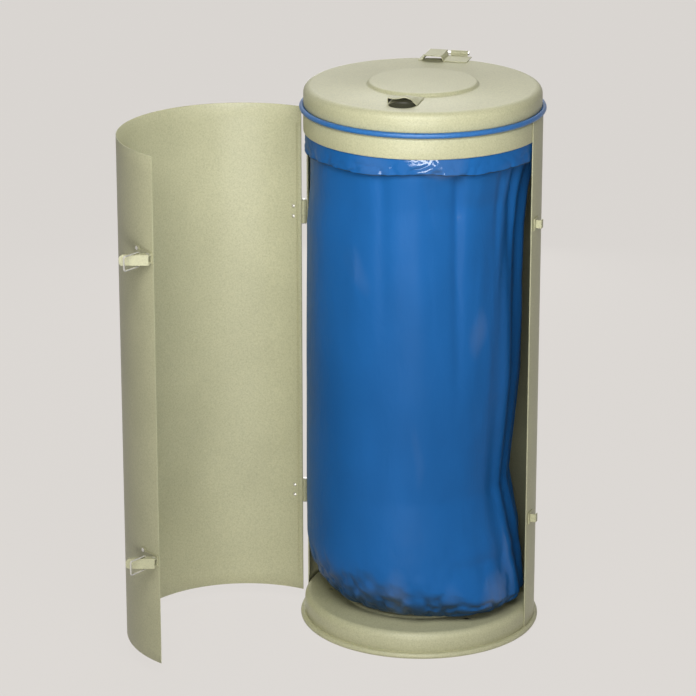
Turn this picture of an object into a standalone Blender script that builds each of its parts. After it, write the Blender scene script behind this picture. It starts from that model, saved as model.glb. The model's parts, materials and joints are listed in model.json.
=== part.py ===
"""Waste-sack collector: a round steel housing with a curved door, a pressed lid and a film sack.

Metres, +Z up. Angles round the drum are in degrees from the front (-Y), growing towards +X.
The door stands open, as in use; DOOR_OPEN turns it and all that it carries about its hinge.
"""

import math

import bmesh
import bpy
import numpy as np
from mathutils import Matrix, Vector

# Where the drum's axis meets the floor: the origin is the middle of the open bin's footprint
DRUM_X = 0.1248
DRUM_Y = 0.1000

# Drum
DRUM_R = 0.200
SHEET = 0.0012
GAP = 0.0003
DRUM_STEPS = 45
STEP_DEG = 360 / DRUM_STEPS
HEM_WIDTH = 0.009
HEM_EXTRA = 0.0012
HEM_INSET = 0.0004
HEM_CLEAR = 0.002
DRILL_PAST = 0.005

# Opening and door
EDGE_RIGHT = 78.0
EDGE_LEFT = -90.0
EDGE_GAP = 0.0012
DOOR_OPEN = 105.5
SHELL_TOP = 0.9048
DOOR_BOTTOM = 0.024
DOOR_SHORT = 0.0083

# Base pan
FOOT_REACH = 0.0068
FOOT_H = 0.0095
FOOT_LAND = 0.004
PAN_TOP = 0.0440
PAN_CORNER = 0.012
PAN_DISC_R = 0.65 * DRUM_R
PAN_DISC_RISE = 0.0032
FIX_HOLE_R = 0.004
FIX_CIRCLE_R = 0.76 * DRUM_R
FIX_FIRST = -75.0
FIX_COUNT = 3

# Collar, the two rings and the lid
COLLAR_DROP = 0.0358
COLLAR_RISE = 0.0060
COLLAR_LIP = 0.006
COLLAR_HEM = 0.0013
COLLAR_STEP = 0.0035
COLLAR_EDGE = 0.002
RUBBER_R = 0.0045
RUBBER_INSET = 0.0035
RUBBER_SIDES = 8
CLAMP_R = 0.0025
CLAMP_SIDES = 6
CLAMP_SPLIT = 1
LID_INSET = 0.0015
LID_RISE = 0.0414
LID_CORNER = 0.013
LID_DISC_R = 0.4625 * DRUM_R
LID_DISC_RISE = 0.0062
LID_STEP = 0.0040

# Lid handle and its finger well
HANDLE_W = 0.050
HANDLE_SET = 0.0055
HANDLE_DEPTH = 0.050
HANDLE_LIFT = 0.0125
HANDLE_T = 0.0012
# The front lip's height across the handle: an upright end, a dip, a hump and a low foot
HANDLE_LIP = ((-1.0, 0.80), (-0.45, 0.68), (0.20, 1.0), (0.62, 0.72), (1.0, 0.0))
WELL_R = 0.022
WELL_DEPTH = 0.008

# Lid hinge
LID_PIN_BACK = 0.0125
LID_PIN_RISE = 0.0055
LID_PIN_R = 0.0022
LID_KNUCKLE_R = 0.0046
LEAF_T = 0.0015
HUMP_LEFT = -0.040
HUMP_RIGHT = -0.002
HUMP_SLOPE = 0.004
WING_LEFT = -0.046
WING_RIGHT = 0.038
LID_LEAF_OVER = 0.005
LID_LEAF_L = 0.0415
BRACKET_X0 = 0.000
BRACKET_X1 = 0.030
BRACKET_DROP = 0.0598
BRACKET_BEND = 0.0088
BRACKET_T = 0.0020
BRACKET_RIVET_LOW = 0.0488
BRACKET_RIVET_HIGH = 0.0248
BRACKET_LAP = 0.010
BRACKET_CURVE = 0.003
TONGUE_LAP = 0.002

# Door hinges
HINGE_HEIGHTS = {"lower": 0.231 * SHELL_TOP, "upper": 0.788 * SHELL_TOP}
HINGE_H = 0.040
BARREL_R = 0.005
BARREL_BORE = 0.0030
HINGE_PIN_R = 0.0027
LEAF_DEG = 7.5
LEAF_RIVET_DEG = 4.8
LEAF_RIVET_Z = 0.009
PIN_HEAD_H = 0.0012
PIN_DOME = 0.0004
PIN_PLAY = 0.001
PIN_SIDES = 8

# Toggle latches and their keepers
LATCH_HEIGHTS = {"lower": 0.2282 * SHELL_TOP, "upper": 0.804 * SHELL_TOP}
PIVOT_INSET = 0.0043
PIVOT_H = 0.008
LATCH_BASE_L = 0.041
LATCH_BASE_HALF = 0.0095
LATCH_LUG_L = 0.012
LATCH_LUG_HALF = 0.014
LATCH_RIVET_Z = 0.0098
EAR_R = 0.0046
EAR_T = 0.0014
EAR_Z = 0.0058
EAR_FOOT = 0.004
LEVER_L = 0.0455
LEVER_W = 0.0175
LEVER_T = 0.0012
LEVER_WEB = 0.0065
LEVER_CORNER = 0.006
LEVER_HEEL = 0.0015
LEVER_LIP = 0.0035
LEVER_LIP_L = 0.008
LEVER_SHOULDER = 0.012
BLANK = 0.020
LEVER_OPEN = 44.0
PIVOT_PIN_R = 0.0020
BAIL_AT = 0.013
BAIL_DROP = 0.001
BAIL_L = 0.036
BAIL_HALF = 0.012
BAIL_R = 0.0014
BAIL_BEND = 0.003
BAIL_OPEN = 50.0
KEEPER_PLATE = 0.011
KEEPER_PLATE_HALF = 0.010
KEEPER_HOOK_HALF = 0.007
KEEPER_STEM_AT = 0.0034
KEEPER_LIP = 0.0085
KEEPER_EASE = 0.0005

# Rivets
RIVET_R = 0.0020
RIVET_HEAD_R = 0.0036
RIVET_HEAD_H = 0.0015
RIVET_SIDES = 8

# Film sack: its wall is drawn thicker than the film
FILM = 0.0012
SACK_CUFF = 0.030
SACK_HEM_WAVE = 0.004
SACK_FLOOR_GAP = 0.0012
# Share of the height from the base to the collar, then the sack's distance from the wall at left and right
SACK_SIDES = (
    (0.000, 0.0038, 0.0180),
    (0.141, 0.0038, 0.0290),
    (0.269, 0.0036, 0.0490),
    (0.490, 0.0036, 0.0330),
    (0.811, 0.0046, 0.0310),
    (0.885, 0.0108, 0.0270),
    (0.960, 0.0116, 0.0140),
)
SACK_LEFT_DEG = -77.0
SACK_FOLDS = ((7, 1.2, 0.0030), (12, -0.6, 0.0020))
SACK_LIFT_DEG = -52.0
SACK_ROUND = 0.012
SACK_LIFT = 0.100

PAINT = (0.62, 0.61, 0.49, 1.0)
FILM_BLUE = (0.012, 0.11, 0.32, 1.0)
RUBBER_BLUE = (0.02, 0.14, 0.36, 1.0)
ZINC = (0.62, 0.62, 0.58, 1.0)

# What follows from the sizes above
DOOR_TOP = SHELL_TOP - DOOR_SHORT
FOOT_R = DRUM_R + FOOT_REACH
COLLAR_BOTTOM = SHELL_TOP - COLLAR_DROP
COLLAR_TOP = SHELL_TOP + COLLAR_RISE
LID_R = DRUM_R - LID_INSET
LID_TOP = SHELL_TOP + LID_RISE
HANDLE_BACK = LID_DISC_R + HANDLE_SET
HANDLE_FRONT = HANDLE_BACK + HANDLE_DEPTH
LID_LEAF_BACK = LID_R + LID_LEAF_OVER
LID_LEAF_FRONT = LID_LEAF_BACK - LID_LEAF_L
BRACKET_FOOT = SHELL_TOP - BRACKET_DROP
BRACKET_SHOULDER = SHELL_TOP - BRACKET_BEND
BRACKET_RIVETS = (SHELL_TOP - BRACKET_RIVET_LOW, SHELL_TOP - BRACKET_RIVET_HIGH)
R_IN = DRUM_R - SHEET
FIT_R = R_IN - GAP
FLAT_DEPTH = DRUM_R * (1 - math.cos(math.radians(STEP_DEG / 2)))
BARREL_AT = DRUM_R + GAP + BARREL_R
EDGE_GAP_DEG = math.degrees(EDGE_GAP / DRUM_R)
DOOR_START = EDGE_LEFT + EDGE_GAP_DEG
DOOR_END = EDGE_RIGHT - EDGE_GAP_DEG
COLLAR_NECK_R = FIT_R - RUBBER_INSET + 0.0012
RUBBER_AT = COLLAR_NECK_R + GAP + RUBBER_R
RUBBER_Z = SHELL_TOP + GAP + RUBBER_R
CLAMP_Z = COLLAR_BOTTOM + RUBBER_R
CUFF_R = FIT_R - SHEET - COLLAR_HEM - GAP
CLAMP_AT = CUFF_R - FILM - GAP - CLAMP_R
SACK_FLOOR = PAN_TOP + PAN_DISC_RISE + SACK_FLOOR_GAP + FILM
LID_Y = LID_R + LID_PIN_BACK
LID_PIN_Z = LID_TOP + LID_PIN_RISE
PIVOT_DEG = DOOR_END - math.degrees(PIVOT_INSET / DRUM_R)
# The bail's cross wire when the latch is shut, and the keeper that it then hooks
HOOKED_R = math.hypot(DRUM_R + PIVOT_H - BAIL_DROP, BAIL_L - BAIL_AT)
HOOKED_DEG = PIVOT_DEG + math.degrees(math.atan2(BAIL_L - BAIL_AT, DRUM_R + PIVOT_H - BAIL_DROP))
KEEPER_DEG = HOOKED_DEG + math.degrees((KEEPER_STEM_AT - BAIL_R - GAP) / HOOKED_R)
KEEPER_UNDER = HOOKED_R - DRUM_R + BAIL_R + GAP


def clear_scene():
    for obj in list(bpy.data.objects):
        bpy.data.objects.remove(obj, do_unlink=True)


def collection(name):
    made = bpy.data.collections.new(name)
    bpy.context.scene.collection.children.link(made)
    return made


def material(name, colour, roughness, metallic=0.0):
    mat = bpy.data.materials.new(name)
    mat.use_nodes = True
    shader = mat.node_tree.nodes["Principled BSDF"]
    shader.inputs["Base Color"].default_value = colour
    shader.inputs["Roughness"].default_value = roughness
    shader.inputs["Metallic"].default_value = metallic
    return mat


clear_scene()
PARTS = collection("waste_bin")
CUTTERS = collection("cutters")
PAINTED = material("hammer_paint", PAINT, 0.45)
FILM_MAT = material("blue_film", FILM_BLUE, 0.25)
RUBBER_MAT = material("blue_rubber", RUBBER_BLUE, 0.45)
ZINC_MAT = material("zinc", ZINC, 0.35, 0.9)


def empty(name, place, turn=0.0, parent=None):
    obj = bpy.data.objects.new(name, None)
    PARTS.objects.link(obj)
    obj.location = place
    obj.rotation_euler.z = math.radians(turn)
    obj.parent = parent
    return obj


DRUM = empty("drum_axis", (DRUM_X, DRUM_Y, 0))
LID_AXIS = empty("lid_axis", (0, LID_Y, LID_PIN_Z), parent=DRUM)
DOOR_AXIS = empty("door_axis", (-BARREL_AT, 0, 0), -DOOR_OPEN, DRUM)


def polar(radius, degrees):
    angle = math.radians(degrees)
    return Vector((radius * math.sin(angle), -radius * math.cos(angle), 0))


def step_deg(i):
    """The angle of one of the drum's corners, all of which lie in line with the door's opening."""
    return EDGE_RIGHT + STEP_DEG * i


def on_drum(obj, parent=None):
    """Places a shape drawn about the drum's axis, closed, on the frame that carries it."""
    obj.parent = parent or DRUM
    if parent is DOOR_AXIS:
        obj.location -= Vector((-BARREL_AT, 0, 0))
    elif parent is LID_AXIS:
        obj.location -= Vector((0, LID_Y, LID_PIN_Z))
    return obj


def add(name, data, mat, cutter=False):
    obj = bpy.data.objects.new(name, data)
    (CUTTERS if cutter else PARTS).objects.link(obj)
    if cutter:
        obj.hide_render = True
        obj.display_type = "WIRE"
    else:
        data.materials.append(mat)
    return obj


def mesh_of(obj):
    """Replaces a curve object by the closed mesh that it draws."""
    bpy.context.view_layer.update()
    graph = bpy.context.evaluated_depsgraph_get()
    mesh = bpy.data.meshes.new_from_object(obj.evaluated_get(graph))
    bm = bmesh.new()
    bm.from_mesh(mesh)
    bmesh.ops.remove_doubles(bm, verts=bm.verts, dist=1e-6)
    bmesh.ops.recalc_face_normals(bm, faces=bm.faces)
    bm.to_mesh(mesh)
    bm.free()
    curve = obj.data
    bpy.data.objects.remove(obj)
    bpy.data.curves.remove(curve)
    return mesh


def plate_mesh(name, outlines, z0, z1):
    """A flat outline, with any holes, drawn in X and Y and given its height from z0 to z1."""
    curve = bpy.data.curves.new(name, "CURVE")
    curve.dimensions = "2D"
    curve.fill_mode = "BOTH"
    curve.extrude = (z1 - z0) / 2
    for points in outlines:
        spline = curve.splines.new("POLY")
        spline.points.add(len(points) - 1)
        for point, (x, y) in zip(spline.points, points):
            point.co = (x, y, 0, 1)
        spline.use_cyclic_u = True
    obj = bpy.data.objects.new(name, curve)
    bpy.context.scene.collection.objects.link(obj)
    mesh = mesh_of(obj)
    mesh.transform(Matrix.Translation((0, 0, (z0 + z1) / 2)))
    mesh.name = name
    return mesh


def wire_mesh(name, points, radius, sides, closed=False):
    curve = bpy.data.curves.new(name, "CURVE")
    curve.dimensions = "3D"
    curve.bevel_depth = radius
    curve.bevel_resolution = sides // 2 - 2
    curve.use_fill_caps = not closed
    spline = curve.splines.new("POLY")
    spline.points.add(len(points) - 1)
    for point, place in zip(spline.points, points):
        point.co = (*place, 1)
    spline.use_cyclic_u = closed
    obj = bpy.data.objects.new(name, curve)
    bpy.context.scene.collection.objects.link(obj)
    mesh = mesh_of(obj)
    mesh.name = name
    return mesh


def round_shading(obj, degrees=30):
    obj.data.shade_smooth()
    obj.data.set_sharp_from_angle(angle=math.radians(degrees))
    return obj


def profile_mesh(name, points, closed=False):
    """A profile in the XZ plane at +X, for a Screw modifier."""
    bm = bmesh.new()
    verts = [bm.verts.new((x, 0, z)) for x, z in points]
    for a, b in zip(verts, verts[1:]):
        bm.edges.new((a, b))
    if closed:
        bm.edges.new((verts[-1], verts[0]))
    mesh = bpy.data.meshes.new(name)
    bm.to_mesh(mesh)
    bm.free()
    return mesh


def turn(obj, steps, degrees=360.0):
    screw = obj.modifiers.new("turned", "SCREW")
    screw.angle = math.radians(degrees)
    screw.steps = steps
    screw.render_steps = steps
    screw.use_merge_vertices = True
    screw.merge_threshold = 1e-5
    screw.use_smooth_shade = True
    return obj


def thicken(obj, thickness):
    solid = obj.modifiers.new("sheet", "SOLIDIFY")
    solid.thickness = thickness
    solid.offset = -1
    solid.use_even_offset = True
    return obj


def sheet_of_revolution(name, points, mat, parent=None):
    """Sheet pressed or rolled round the drum's axis; the profile is its outer face, from the top down."""
    obj = turn(add(name, profile_mesh(name, points), mat), DRUM_STEPS)
    obj.rotation_euler.z = math.radians(EDGE_RIGHT - 90)
    thicken(obj, SHEET)
    return on_drum(obj, parent)


def combine(obj, other, operation):
    modifier = obj.modifiers.new(operation.lower(), "BOOLEAN")
    modifier.operation = operation
    modifier.object = other
    return obj


def join_shapes(obj, *others):
    for other in others:
        combine(obj, other, "UNION")
    return obj


def cut(obj, *others):
    for other in others:
        combine(obj, other, "DIFFERENCE")
    return obj


def helper(name, mesh, like):
    """A cutter or a shape to be joined, in the same frame as the object that uses it."""
    obj = add(name, mesh, None, cutter=True)
    obj.parent = like.parent
    obj.location = like.location
    obj.rotation_euler = like.rotation_euler
    return obj


def arc(radius, start, end, steps):
    return [polar(radius, start + (end - start) * i / steps).xy for i in range(steps + 1)]


def circle(x, y, radius, sides):
    """A round outline with its corners at the radius."""
    turns = [2 * math.pi * i / sides for i in range(sides)]
    return [(x + radius * math.cos(t), y + radius * math.sin(t)) for t in turns]


def corner(cx, cz, radius, start, end, steps):
    """Points of a round corner in a profile; 0 degrees is +X and 90 degrees is +Z."""
    angles = [math.radians(start + (end - start) * i / steps) for i in range(steps + 1)]
    return [(cx + radius * math.cos(a), cz + radius * math.sin(a)) for a in angles]


def arc_strip(inner, outer, start, end, step=STEP_DEG):
    steps = max(2, round(abs(end - start) / step))
    return arc(outer, start, end, steps) + arc(inner, end, start, steps)


def round_bar(name, radius, z0, z1, sides=12):
    """An upright round bar about the Z axis."""
    bm = bmesh.new()
    middle = Matrix.Translation((0, 0, (z0 + z1) / 2))
    bmesh.ops.create_cone(bm, cap_ends=True, segments=sides, radius1=radius, radius2=radius,
                          depth=z1 - z0, matrix=middle)
    mesh = bpy.data.meshes.new(name)
    bm.to_mesh(mesh)
    bm.free()
    return mesh


def merged(name, meshes):
    """One mesh of several separate shapes, for a cutter."""
    bm = bmesh.new()
    for mesh in meshes:
        bm.from_mesh(mesh)
    made = bpy.data.meshes.new(name)
    bm.to_mesh(made)
    bm.free()
    return made


def radial_matrix(degrees, z, radius=0.0):
    """Turns a shape drawn along +Z so that it points out of the drum at this angle and height."""
    place = polar(radius, degrees) + Vector((0, 0, z))
    turned = Matrix.Rotation(math.radians(degrees), 4, "Z") @ Matrix.Rotation(math.radians(90), 4, "X")
    return Matrix.Translation(place) @ turned


def radial_holes(name, places, like, radius=RIVET_R + GAP, sides=RIVET_SIDES):
    """One cutter for holes through the drum's wall and what lies on it, at (degrees, z) places."""
    drills = []
    for degrees, z in places:
        drill = round_bar(name, radius, R_IN - DRILL_PAST, DRUM_R + DRILL_PAST, sides)
        drill.transform(radial_matrix(degrees, z))
        drills.append(drill)
    return helper(name, merged(name, drills), like)


def rivet(name, degrees, z, grip_in, grip_out, parent):
    """A domed rivet through the wall: its tail bears at radius grip_in, its head at grip_out."""
    tail = grip_in - GAP - FLAT_DEPTH
    head = grip_out + GAP
    dome = 0.6 * RIVET_HEAD_R
    points = [
        (0, head + RIVET_HEAD_H),
        (dome, head + 0.8 * RIVET_HEAD_H),
        (RIVET_HEAD_R, head),
        (RIVET_R, head),
        (RIVET_R, tail),
        (0.85 * RIVET_HEAD_R, tail),
        (0, tail - 0.7 * RIVET_HEAD_H),
    ]
    obj = turn(add(name, profile_mesh(name, points), ZINC_MAT), RIVET_SIDES)
    on_drum(obj, parent)
    obj.matrix_basis = Matrix.Translation(obj.location) @ radial_matrix(degrees, z)
    return obj


def half_hem(name, edge, inward, z0, z1, like):
    """The folded edge of a drum sheet, which lies against its inner face."""
    start = edge + math.degrees(HEM_INSET / DRUM_R) * inward
    width = math.degrees(HEM_WIDTH / DRUM_R) * inward
    outline = arc_strip(R_IN - HEM_EXTRA, R_IN + SHEET / 2, start, edge + width)
    return helper(name, plate_mesh(name, [outline], z0, z1), like)


def make_back_shell():
    start = EDGE_RIGHT
    end = EDGE_LEFT + 360
    outline = arc_strip(R_IN, DRUM_R, start, end)
    shell = add("back_shell", plate_mesh("back_shell", [outline], FOOT_H + GAP, SHELL_TOP), PAINTED)
    on_drum(shell)
    low = PAN_TOP + PAN_DISC_RISE
    high = COLLAR_BOTTOM - HEM_CLEAR
    join_shapes(
        shell,
        half_hem("shell_hem_right", start, 1, low, high, shell),
        half_hem("shell_hem_left", end, -1, low, high, shell),
    )
    places = [(EDGE_LEFT - LEAF_RIVET_DEG, z + side * LEAF_RIVET_Z)
              for z in HINGE_HEIGHTS.values() for side in (-1, 1)]
    places += [(bracket_deg(), z) for z in BRACKET_RIVETS]
    cut(shell, radial_holes("shell_rivet_holes", places, shell))
    return round_shading(shell)


def make_base_pan():
    disc_z = PAN_TOP + PAN_DISC_RISE
    bead_r = FOOT_H / 2
    bead_x = FOOT_R - bead_r
    profile = [(0, disc_z), (PAN_DISC_R, disc_z), (PAN_DISC_R + PAN_DISC_RISE, PAN_TOP)]
    profile += corner(FIT_R - PAN_CORNER, PAN_TOP - PAN_CORNER, PAN_CORNER, 90, 0, 2)
    profile += [(FIT_R, FOOT_H)]
    profile += corner(bead_x, bead_r, bead_r, 90, -90, 3)
    profile += [(bead_x - FOOT_LAND, 0)]
    pan = sheet_of_revolution("base_pan", profile, PAINTED)
    drills = []
    for i in range(FIX_COUNT):
        drill = round_bar("fixing_hole", FIX_HOLE_R, PAN_TOP - DRILL_PAST, PAN_TOP + DRILL_PAST)
        place = polar(FIX_CIRCLE_R, FIX_FIRST + 360 / FIX_COUNT * i)
        drill.transform(Matrix.Translation(place))
        drills.append(drill)
    holes = helper("fixing_holes", merged("fixing_holes", drills), pan)
    holes.rotation_euler.z = 0
    cut(pan, holes)
    return pan


def bracket_deg():
    return 180 - math.degrees(math.asin(BRACKET_X0 / DRUM_R) + math.asin(BRACKET_X1 / DRUM_R)) / 2


def make_collar():
    neck = COLLAR_NECK_R
    edge = COLLAR_EDGE
    profile = [(neck - COLLAR_LIP, COLLAR_TOP - edge / 2), (neck - edge, COLLAR_TOP), (neck, COLLAR_TOP - edge)]
    profile += [(neck, SHELL_TOP - GAP), (FIT_R, SHELL_TOP - GAP - COLLAR_STEP)]
    profile += [(FIT_R, COLLAR_BOTTOM), (FIT_R - SHEET - COLLAR_HEM, COLLAR_BOTTOM)]
    collar = sheet_of_revolution("collar", profile, PAINTED)
    hole = radial_holes("collar_rivet_hole", [(bracket_deg(), BRACKET_RIVETS[-1])], collar)
    hole.rotation_euler.z = 0
    return cut(collar, hole)


def make_rubber_ring():
    points = corner(RUBBER_AT, RUBBER_Z, RUBBER_R, 180, -180, RUBBER_SIDES)[:-1]
    ring = turn(add("rubber_ring", profile_mesh("rubber_ring", points, True), RUBBER_MAT), DRUM_STEPS)
    ring.rotation_euler.z = math.radians(EDGE_RIGHT - 90)
    return on_drum(ring)


def make_clamping_ring():
    """The sprung ring that presses the sack's turned-down mouth against the collar; it is split at the back."""
    first = round((180 - EDGE_RIGHT) / STEP_DEG)
    last = first + DRUM_STEPS - CLAMP_SPLIT
    places = [polar(CLAMP_AT, step_deg(i)) + Vector((0, 0, CLAMP_Z)) for i in range(first, last + 1)]
    mesh = wire_mesh("clamping_ring", places, CLAMP_R, CLAMP_SIDES)
    return round_shading(on_drum(add("clamping_ring", mesh, ZINC_MAT)), 50)


def sack_radius(degrees, z):
    """The sack's inner face at a height: it fills the left of the drum and stands clear of the right."""
    share = (z - PAN_TOP) / (COLLAR_BOTTOM - PAN_TOP)
    heights, left, right = zip(*SACK_SIDES)
    near = np.interp(share, heights, left)
    far = np.interp(share, heights, right)
    to_left = (1 + math.cos(math.radians(degrees - SACK_LEFT_DEG))) / 2
    folds = sum(size * math.sin(count * math.radians(degrees) + phase) for count, phase, size in SACK_FOLDS)
    return R_IN - FILM - near * to_left - far * (1 - to_left) + folds * share * (1 - 0.85 * to_left)


def sack_row(z):
    turns = [step_deg(i) for i in range(DRUM_STEPS)]
    return [polar(sack_radius(degrees, z), degrees) + Vector((0, 0, z)) for degrees in turns]


def sack_foot_row(share):
    """A row of the rounded foot, from 0 at the wall to 1 on the floor; the foot is lifted at front left."""
    row = []
    turned = math.radians(90 * share)
    for i in range(DRUM_STEPS):
        degrees = step_deg(i)
        lifted = ((1 + math.cos(math.radians(degrees - SACK_LIFT_DEG))) / 2) ** 1.3
        height = SACK_ROUND + SACK_LIFT * lifted
        inset = 2 * SACK_ROUND + 0.5 * SACK_LIFT * lifted
        z = SACK_FLOOR + height * (1 - math.sin(turned))
        radius = sack_radius(degrees, SACK_FLOOR + height) - inset * (1 - math.cos(turned))
        row.append(polar(radius, degrees) + Vector((0, 0, z)))
    return row


def round_row(radius, z, wave=0.0):
    row = []
    for i in range(DRUM_STEPS):
        angle = math.radians(step_deg(i))
        lift = wave * (0.6 * math.sin(3 * angle + 0.8) + 0.4 * math.sin(7 * angle))
        row.append(polar(radius, step_deg(i)) + Vector((0, 0, z + lift)))
    return row


def make_sack():
    """An open film sack: its mouth is folded out over the clamping ring and hangs below the collar."""
    fold = CLAMP_R + GAP + FILM
    bend = fold * math.tan(math.radians(22.5))
    top = CLAMP_Z + fold
    inner = CLAMP_AT - fold
    rows = [
        round_row(CUFF_R, COLLAR_BOTTOM - SACK_CUFF, SACK_HEM_WAVE),
        round_row(CUFF_R, CLAMP_Z + bend),
        round_row(CLAMP_AT + bend, top),
        round_row(CLAMP_AT - bend, top),
        round_row(inner, CLAMP_Z + bend),
        round_row(inner - FILM, CLAMP_Z - 4 * CLAMP_R),
    ]
    for share, _, _ in reversed(SACK_SIDES[1:]):
        rows.append(sack_row(PAN_TOP + share * (COLLAR_BOTTOM - PAN_TOP)))
    rows += [sack_foot_row(step / 3) for step in range(4)]
    bm = bmesh.new()
    rings = [[bm.verts.new(p) for p in row] for row in rows]
    for upper, lower in zip(rings, rings[1:]):
        for i in range(DRUM_STEPS):
            j = (i + 1) % DRUM_STEPS
            bm.faces.new((upper[i], upper[j], lower[j], lower[i]))
    hub = bm.verts.new((0, 0, SACK_FLOOR))
    last = rings[-1]
    for i in range(DRUM_STEPS):
        bm.faces.new((last[i], last[(i + 1) % DRUM_STEPS], hub))
    mesh = bpy.data.meshes.new("sack")
    bm.to_mesh(mesh)
    bm.free()
    sack = on_drum(add("sack", mesh, FILM_MAT))
    thicken(sack, FILM)
    mesh.shade_smooth()
    return sack


def make_lid():
    disc_z = LID_TOP + LID_DISC_RISE
    skirt_end = RUBBER_Z + math.sqrt(RUBBER_R**2 - (RUBBER_AT - LID_R) ** 2) + GAP
    profile = [(0, disc_z), (LID_DISC_R - LID_STEP, disc_z)]
    profile += [(LID_DISC_R - LID_STEP / 3, disc_z - LID_DISC_RISE / 4)]
    profile += [(LID_DISC_R, LID_TOP)]
    profile += corner(LID_R - LID_CORNER, LID_TOP - LID_CORNER, LID_CORNER, 90, 0, 3)
    profile += [(LID_R, skirt_end)]
    lid = sheet_of_revolution("lid", profile, PAINTED, LID_AXIS)
    outer = bpy.data.meshes.new("well_outer")
    inner = bpy.data.meshes.new("well_inner")
    for mesh, swell, keep_top in ((outer, SHEET, False), (inner, 0.0, True)):
        bm = bmesh.new()
        bmesh.ops.create_uvsphere(bm, u_segments=16, v_segments=8, radius=1.0)
        if not keep_top:
            geometry = bm.verts[:] + bm.edges[:] + bm.faces[:]
            bmesh.ops.bisect_plane(bm, geom=geometry, plane_co=(0, 0, 0), plane_no=(0, 0, 1), clear_outer=True)
            bmesh.ops.holes_fill(bm, edges=bm.edges)
        size = Vector((WELL_R + swell, WELL_R + swell, WELL_DEPTH + swell))
        bmesh.ops.scale(bm, verts=bm.verts, vec=size)
        bmesh.ops.translate(bm, verts=bm.verts, vec=(0, -HANDLE_FRONT, LID_TOP - SHEET / 2))
        bm.to_mesh(mesh)
        bm.free()
    for mesh, operation in ((outer, "UNION"), (inner, "DIFFERENCE")):
        shape = helper(mesh.name, mesh, lid)
        shape.rotation_euler.z = 0
        combine(lid, shape, operation)
    return lid


def handle_lift(across):
    """Height of the handle's front lip, from -1 at its left end to 1 at its right."""
    places, heights = zip(*HANDLE_LIP)
    return float(np.interp(across, places, heights)) * HANDLE_LIFT


def make_lid_handle():
    """A pressed cowl open at the front: its back and right side lie on the lid, its left end turns down."""
    across = 12
    along = 4
    low = LID_TOP + GAP + HANDLE_T
    bm = bmesh.new()
    rows = []
    for j in range(along + 1):
        v = j / along
        rise = math.sin(v * math.pi / 2)
        y = -(HANDLE_BACK + (HANDLE_FRONT - HANDLE_BACK) * v)
        row = [bm.verts.new((-HANDLE_W / 2, y, low))]
        for i in range(across + 1):
            u = -1 + 2 * i / across
            back_edge = HANDLE_T * (1 - v) if u < 1 else 0
            row.append(bm.verts.new((u * HANDLE_W / 2, y, low + rise * handle_lift(u) + back_edge)))
        rows.append(row)
    for back, front in zip(rows, rows[1:]):
        for i in range(len(back) - 1):
            bm.faces.new((back[i], front[i], front[i + 1], back[i + 1]))
    mesh = bpy.data.meshes.new("lid_handle")
    bm.to_mesh(mesh)
    bm.free()
    handle = on_drum(add("lid_handle", mesh, PAINTED), LID_AXIS)
    thicken(handle, HANDLE_T)
    return round_shading(handle)


def standing(mesh):
    """Turns a plate drawn in X and Y with its height along Z so that it is drawn in Y and Z, along X."""
    mesh.transform(Matrix.Rotation(math.radians(90), 4, "Z") @ Matrix.Rotation(math.radians(90), 4, "X"))
    return mesh


def along_x(name, radius, x0, x1, sides=12):
    mesh = round_bar(name, radius, x0, x1, sides)
    mesh.transform(Matrix.Rotation(math.radians(90), 4, "Y"))
    mesh.transform(Matrix.Translation((0, LID_Y, LID_PIN_Z)))
    return mesh


def make_lid_bracket():
    """A foot curved to the drum and riveted on it, with an upright that is curled round the pin."""
    inner = DRUM_R + GAP
    outer = inner + BRACKET_T
    first = 180 - math.degrees(math.asin(BRACKET_X1 / DRUM_R))
    last = 180 - math.degrees(math.asin(BRACKET_X0 / DRUM_R))
    strip = arc_strip(inner, outer, first, last)
    foot = plate_mesh("lid_hinge_bracket", [strip], BRACKET_FOOT, BRACKET_SHOULDER)
    bracket = on_drum(add("lid_hinge_bracket", foot, PAINTED))
    near = inner + GAP
    far = outer + GAP
    back = LID_Y - LID_KNUCKLE_R + GAP
    bend = BRACKET_SHOULDER
    low = bend - BRACKET_CURVE
    high = bend + BRACKET_CURVE
    strap = [(near, bend - BRACKET_LAP), (far, bend - BRACKET_LAP), (far, low), (back + BRACKET_T, high)]
    strap += [(back + BRACKET_T, LID_PIN_Z), (back, LID_PIN_Z), (back, high + BRACKET_T / 2)]
    strap += [(near, low + BRACKET_T / 2)]
    x0 = BRACKET_X0 + GAP
    x1 = BRACKET_X1 - GAP
    upright = standing(plate_mesh("bracket_upright", [strap], x0, x1))
    knuckle = along_x("bracket_knuckle", LID_KNUCKLE_R, x0 + GAP, x1 - GAP)
    bore = along_x("bracket_bore", LID_PIN_R + GAP, x0 - DRILL_PAST, x1 + DRILL_PAST)
    places = [(bracket_deg(), z) for z in BRACKET_RIVETS]
    join_shapes(bracket, helper("bracket_upright", upright, bracket))
    join_shapes(bracket, helper("bracket_knuckle", knuckle, bracket))
    cut(bracket, helper("bracket_bore", bore, bracket), radial_holes("bracket_rivet_holes", places, bracket))
    for i, ((degrees, z), tail) in enumerate(zip(places, (R_IN, FIT_R - SHEET))):
        rivet(f"bracket_rivet_{i + 1}", degrees, z, tail, outer, None)
    return bracket


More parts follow.
